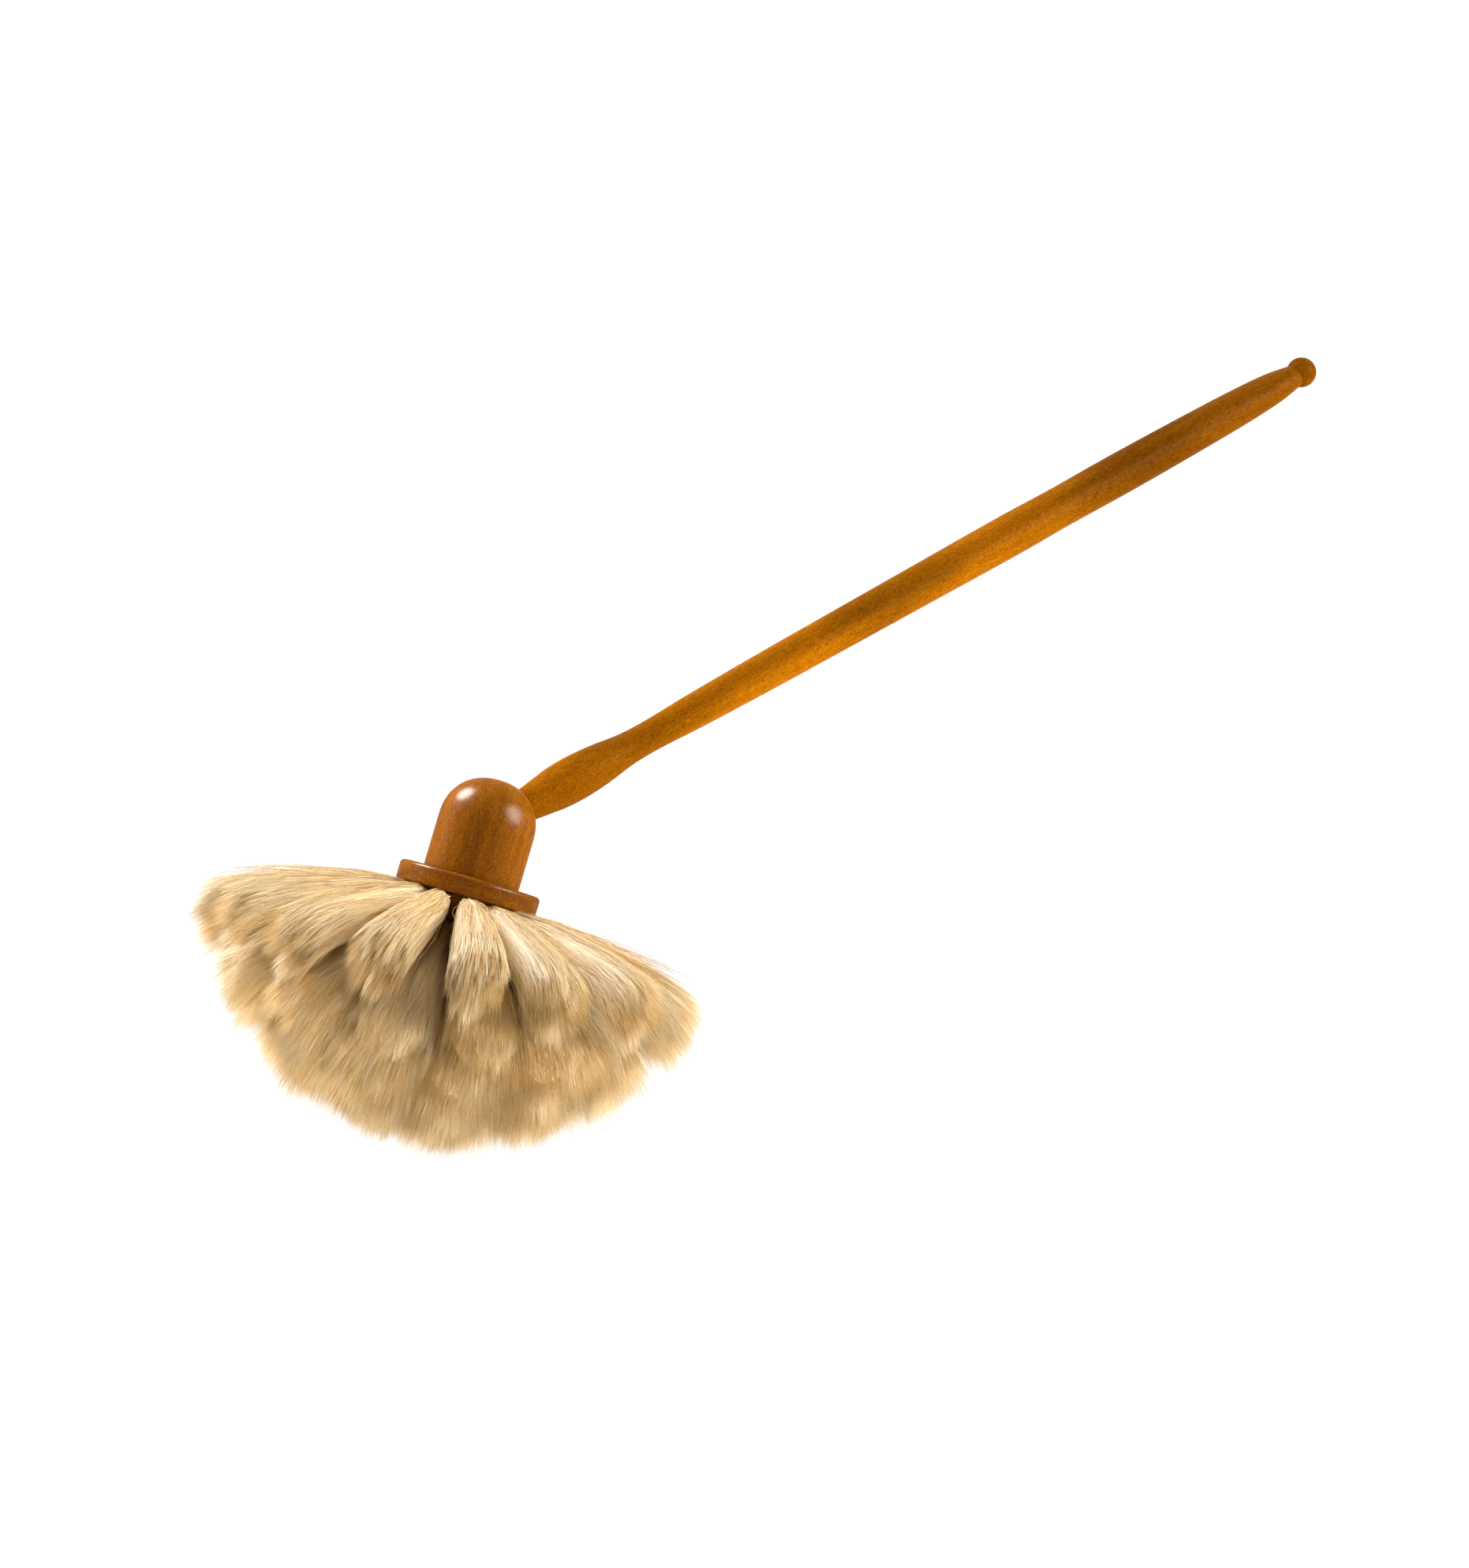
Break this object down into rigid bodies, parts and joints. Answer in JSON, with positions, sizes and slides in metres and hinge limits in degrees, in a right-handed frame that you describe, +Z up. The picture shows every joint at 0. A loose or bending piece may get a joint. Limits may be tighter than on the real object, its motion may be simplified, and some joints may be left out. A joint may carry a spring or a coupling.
{
  "type": "goat hair duster",
  "caption": "Hand duster with a domed turned wooden head, rings of soft pale hair tufts under its flange, and a long slanting turned handle that ends in a ball.",
  "frame": {"origin": "centre of the footprint's box on the table, under the lying duster", "axes": "+Z up from the table, +X along the handle's plan from the head to the ball, +Y to the side that the dome turns to"},
  "size_m": [0.5796, 0.1762, 0.1973],
  "materials": {
    "oiled_wood": "oiled, semi-gloss",
    "stock_wood": "oiled, satin",
    "goat_hair": "soft natural hair",
    "anchor_wire": "drawn flat wire"
  },
  "bodies": {
    "root": {"handle": "oiled_wood", "dome": "oiled_wood", "stock": "stock_wood", "hair_tier_1": "goat_hair", "hair_tier_2": "goat_hair", "hair_tier_3": "goat_hair", "hair_tier_4": "goat_hair", "anchor_1_01": "anchor_wire", "anchor_1_02": "anchor_wire", "anchor_1_03": "anchor_wire", "anchor_1_04": "anchor_wire", "anchor_1_05": "anchor_wire", "anchor_1_06": "anchor_wire", "anchor_1_07": "anchor_wire", "anchor_1_08": "anchor_wire", "anchor_1_09": "anchor_wire", "anchor_1_10": "anchor_wire", "anchor_1_11": "anchor_wire", "anchor_1_12": "anchor_wire", "anchor_1_13": "anchor_wire", "anchor_1_14": "anchor_wire", "anchor_1_15": "anchor_wire", "anchor_1_16": "anchor_wire", "anchor_2_01": "anchor_wire", "anchor_2_02": "anchor_wire", "anchor_2_03": "anchor_wire", "anchor_2_04": "anchor_wire", "anchor_2_05": "anchor_wire", "anchor_2_06": "anchor_wire", "anchor_2_07": "anchor_wire", "anchor_2_08": "anchor_wire", "anchor_2_09": "anchor_wire", "anchor_2_10": "anchor_wire", "anchor_2_11": "anchor_wire", "anchor_2_12": "anchor_wire", "anchor_2_13": "anchor_wire", "anchor_3_01": "anchor_wire", "anchor_3_02": "anchor_wire", "anchor_3_03": "anchor_wire", "anchor_3_04": "anchor_wire", "anchor_3_05": "anchor_wire", "anchor_3_06": "anchor_wire", "anchor_3_07": "anchor_wire", "anchor_3_08": "anchor_wire", "anchor_3_09": "anchor_wire", "anchor_4_01": "anchor_wire", "anchor_4_02": "anchor_wire", "anchor_4_03": "anchor_wire", "anchor_4_04": "anchor_wire"}
  },
  "joints": []
}
